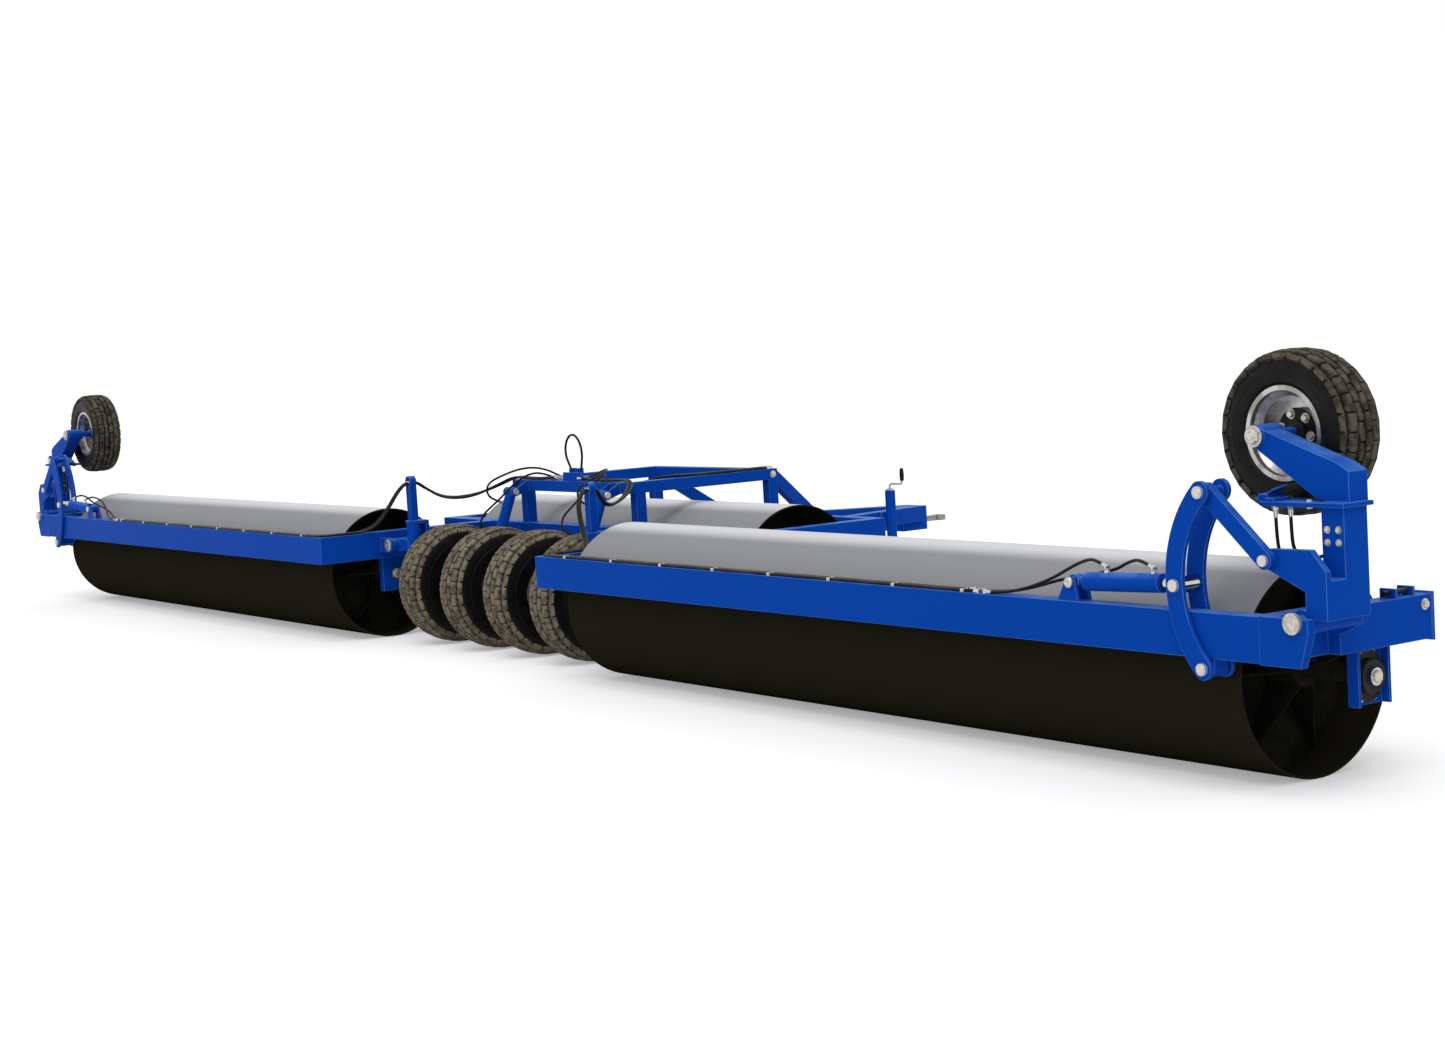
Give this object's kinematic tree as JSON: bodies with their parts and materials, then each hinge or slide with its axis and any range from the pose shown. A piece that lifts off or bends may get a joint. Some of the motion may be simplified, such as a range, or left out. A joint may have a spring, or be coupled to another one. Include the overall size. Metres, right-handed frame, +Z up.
{
  "type": "trailed folding land roller",
  "caption": "Trailed land roller with smooth steel drums, folding wings, a wheeled lifting axle and swing-down support wheels",
  "frame": {"origin": "on the ground under the middle of the machine's box", "axes": "+X to the machine's right, +Y forward to the tow eye, +Z up"},
  "size_m": [16.14, 4.868, 1.975],
  "materials": {
    "blue_paint": "gloss enamel",
    "drum_paint": "satin black",
    "forged_steel": "forged",
    "rim_silver": "silver enamel",
    "rod_chrome": "polished",
    "tyre_rubber": "matt",
    "zinc": "zinc plated"
  },
  "bodies": {
    "centre": {"centre_frame": "blue_paint", "gantry": "blue_paint", "drawbar": "blue_paint", "tow_eye": "forged_steel", "jack_tube": "blue_paint"},
    "jack": {"jack_leg": "zinc"},
    "centre_drum": {"centre_drum_shell": "drum_paint", "centre_drum_spider": "drum_paint"},
    "axle": {"axle_beam": "blue_paint"},
    "axle_wheel_1": {"axle_tyre_1": "tyre_rubber", "axle_rim_1": "rim_silver"},
    "axle_wheel_2": {"axle_tyre_2": "tyre_rubber", "axle_rim_2": "rim_silver"},
    "axle_wheel_3": {"axle_tyre_3": "tyre_rubber", "axle_rim_3": "rim_silver"},
    "axle_wheel_4": {"axle_tyre_4": "tyre_rubber", "axle_rim_4": "rim_silver"},
    "lift_barrel_left": {"lift_barrel_left": "blue_paint"},
    "lift_rod_left": {"lift_rod_left": "rod_chrome"},
    "lift_barrel_right": {"lift_barrel_right": "blue_paint"},
    "lift_rod_right": {"lift_rod_right": "rod_chrome"},
    "knuckle_left": {"knuckle_left": "blue_paint"},
    "wing_left": {"wing_frame_left": "blue_paint", "wing_hangers_left": "blue_paint"},
    "wing_drum_left": {"wing_drum_shell_left": "drum_paint", "wing_drum_spider_left": "drum_paint"},
    "tower_left": {"tower_left": "blue_paint"},
    "rocker_left": {"rocker_left": "blue_paint"},
    "link_left": {"link_left": "blue_paint"},
    "ram_barrel_left": {"ram_barrel_left": "blue_paint"},
    "ram_rod_left": {"ram_rod_left": "rod_chrome"},
    "support_wheel_left": {"support_tyre_left": "tyre_rubber", "support_rim_left": "rim_silver"},
    "knuckle_right": {"knuckle_right": "blue_paint"},
    "wing_right": {"wing_frame_right": "blue_paint", "wing_hangers_right": "blue_paint"},
    "wing_drum_right": {"wing_drum_shell_right": "drum_paint", "wing_drum_spider_right": "drum_paint"},
    "tower_right": {"tower_right": "blue_paint"},
    "rocker_right": {"rocker_right": "blue_paint"},
    "link_right": {"link_right": "blue_paint"},
    "ram_barrel_right": {"ram_barrel_right": "blue_paint"},
    "ram_rod_right": {"ram_rod_right": "rod_chrome"},
    "support_wheel_right": {"support_tyre_right": "tyre_rubber", "support_rim_right": "rim_silver"}
  },
  "joints": [
    {"name": "centre_drum_turn", "type": "hinge", "parent": "centre", "child": "centre_drum", "pos_m": [0, -0.445, 0.5], "axis": [1, 0, 0], "continuous": true},
    {"name": "jack_raise", "type": "slide", "parent": "centre", "child": "jack", "axis": [0, 0, 1], "range_m": [0, 0.35]},
    {"name": "axle_lift", "type": "hinge", "parent": "centre", "child": "axle", "pos_m": [0, -1.035, 0.62], "axis": [1, 0, 0], "range_deg": [-6, 35]},
    {"name": "axle_wheel_1_turn", "type": "hinge", "parent": "axle", "child": "axle_wheel_1", "pos_m": [-0.96, -1.583, 0.445], "axis": [1, 0, 0], "continuous": true},
    {"name": "axle_wheel_2_turn", "type": "hinge", "parent": "axle", "child": "axle_wheel_2", "pos_m": [-0.32, -1.583, 0.445], "axis": [1, 0, 0], "continuous": true},
    {"name": "axle_wheel_3_turn", "type": "hinge", "parent": "axle", "child": "axle_wheel_3", "pos_m": [0.32, -1.583, 0.445], "axis": [1, 0, 0], "continuous": true},
    {"name": "axle_wheel_4_turn", "type": "hinge", "parent": "axle", "child": "axle_wheel_4", "pos_m": [0.96, -1.583, 0.445], "axis": [1, 0, 0], "continuous": true},
    {"name": "lift_ram_left_swing", "type": "hinge", "parent": "centre", "child": "lift_barrel_left", "pos_m": [-0.64, -1.245, 1.11], "axis": [1, 0, 0], "range_deg": [-2.19, 12.55]},
    {"name": "lift_ram_left_stroke", "type": "slide", "parent": "lift_barrel_left", "child": "lift_rod_left", "axis": [0, -0.3714, -0.9285], "range_m": [-0.0361, 0.2056]},
    {"name": "lift_ram_right_swing", "type": "hinge", "parent": "centre", "child": "lift_barrel_right", "pos_m": [0.64, -1.245, 1.11], "axis": [1, 0, 0], "range_deg": [-2.19, 12.55]},
    {"name": "lift_ram_right_stroke", "type": "slide", "parent": "lift_barrel_right", "child": "lift_rod_right", "axis": [0, -0.3714, -0.9285], "range_m": [-0.0361, 0.2056]},
    {"name": "fold_left", "type": "hinge", "parent": "centre", "child": "knuckle_left", "pos_m": [-1.29, -1.745, 0.735], "axis": [0, 0, 1], "range_deg": [0, 90]},
    {"name": "float_left", "type": "hinge", "parent": "knuckle_left", "child": "wing_left", "pos_m": [-1.47, -1.745, 0.735], "axis": [0, 1, 0], "range_deg": [-5, 8]},
    {"name": "wing_drum_left_turn", "type": "hinge", "parent": "wing_left", "child": "wing_drum_left", "pos_m": [-1.74, -1.745, 0.5], "axis": [1, 0, 0], "continuous": true},
    {"name": "tower_left", "type": "hinge", "parent": "wing_left", "child": "tower_left", "pos_m": [-7.91, -2.3375, 0.82], "axis": [0, -1, 0], "range_deg": [0, 165]},
    {"name": "support_wheel_left_turn", "type": "hinge", "parent": "tower_left", "child": "support_wheel_left", "pos_m": [-7.55, -1.895, 1.6], "axis": [0, 1, 0], "continuous": true},
    {"name": "rocker_left", "type": "hinge", "parent": "wing_left", "child": "rocker_left", "pos_m": [-7.4, -2.3375, 0.585], "axis": [0, -1, 0], "range_deg": [0, 53.19]},
    {"name": "link_left", "type": "hinge", "parent": "rocker_left", "child": "link_left", "pos_m": [-7.42, -2.3375, 1.37], "axis": [0, -1, 0], "range_deg": [-16.55, 0]},
    {"name": "ram_swing_left", "type": "hinge", "parent": "wing_left", "child": "ram_barrel_left", "pos_m": [-6.55, -2.3375, 0.925], "axis": [0, -1, 0], "range_deg": [0, 2.15]},
    {"name": "ram_stroke_left", "type": "slide", "parent": "ram_barrel_left", "child": "ram_rod_left", "axis": [-0.9994, 0, 0.0357], "range_m": [0, 0.3526]},
    {"name": "fold_right", "type": "hinge", "parent": "centre", "child": "knuckle_right", "pos_m": [1.29, -1.745, 0.735], "axis": [0, 0, -1], "range_deg": [0, 90]},
    {"name": "float_right", "type": "hinge", "parent": "knuckle_right", "child": "wing_right", "pos_m": [1.47, -1.745, 0.735], "axis": [0, -1, 0], "range_deg": [-5, 8]},
    {"name": "wing_drum_right_turn", "type": "hinge", "parent": "wing_right", "child": "wing_drum_right", "pos_m": [1.74, -1.745, 0.5], "axis": [1, 0, 0], "continuous": true},
    {"name": "tower_right", "type": "hinge", "parent": "wing_right", "child": "tower_right", "pos_m": [7.91, -2.3375, 0.82], "axis": [0, 1, 0], "range_deg": [0, 165]},
    {"name": "support_wheel_right_turn", "type": "hinge", "parent": "tower_right", "child": "support_wheel_right", "pos_m": [7.55, -1.895, 1.6], "axis": [0, 1, 0], "continuous": true},
    {"name": "rocker_right", "type": "hinge", "parent": "wing_right", "child": "rocker_right", "pos_m": [7.4, -2.3375, 0.585], "axis": [0, 1, 0], "range_deg": [0, 53.19]},
    {"name": "link_right", "type": "hinge", "parent": "rocker_right", "child": "link_right", "pos_m": [7.42, -2.3375, 1.37], "axis": [0, 1, 0], "range_deg": [-16.55, 0]},
    {"name": "ram_swing_right", "type": "hinge", "parent": "wing_right", "child": "ram_barrel_right", "pos_m": [6.55, -2.3375, 0.925], "axis": [0, 1, 0], "range_deg": [0, 2.15]},
    {"name": "ram_stroke_right", "type": "slide", "parent": "ram_barrel_right", "child": "ram_rod_right", "axis": [0.9994, 0, 0.0357], "range_m": [0, 0.3526]}
  ],
  "couplings": [
    {"joint": "lift_ram_left_swing", "follows": "axle_lift", "ratio": 0.35713},
    {"joint": "lift_ram_left_stroke", "follows": "axle_lift", "m_per_rad": 0.33496},
    {"joint": "lift_ram_right_swing", "follows": "axle_lift", "ratio": 0.35713},
    {"joint": "lift_ram_right_stroke", "follows": "axle_lift", "m_per_rad": 0.33496},
    {"joint": "rocker_left", "follows": "tower_left", "ratio": 0.32206},
    {"joint": "link_left", "follows": "tower_left", "ratio": -0.10003},
    {"joint": "ram_swing_left", "follows": "tower_left", "ratio": 0.01274},
    {"joint": "ram_stroke_left", "follows": "tower_left", "m_per_rad": 0.1221},
    {"joint": "rocker_right", "follows": "tower_right", "ratio": 0.32206},
    {"joint": "link_right", "follows": "tower_right", "ratio": -0.10003},
    {"joint": "ram_swing_right", "follows": "tower_right", "ratio": 0.01274},
    {"joint": "ram_stroke_right", "follows": "tower_right", "m_per_rad": 0.1221}
  ]
}
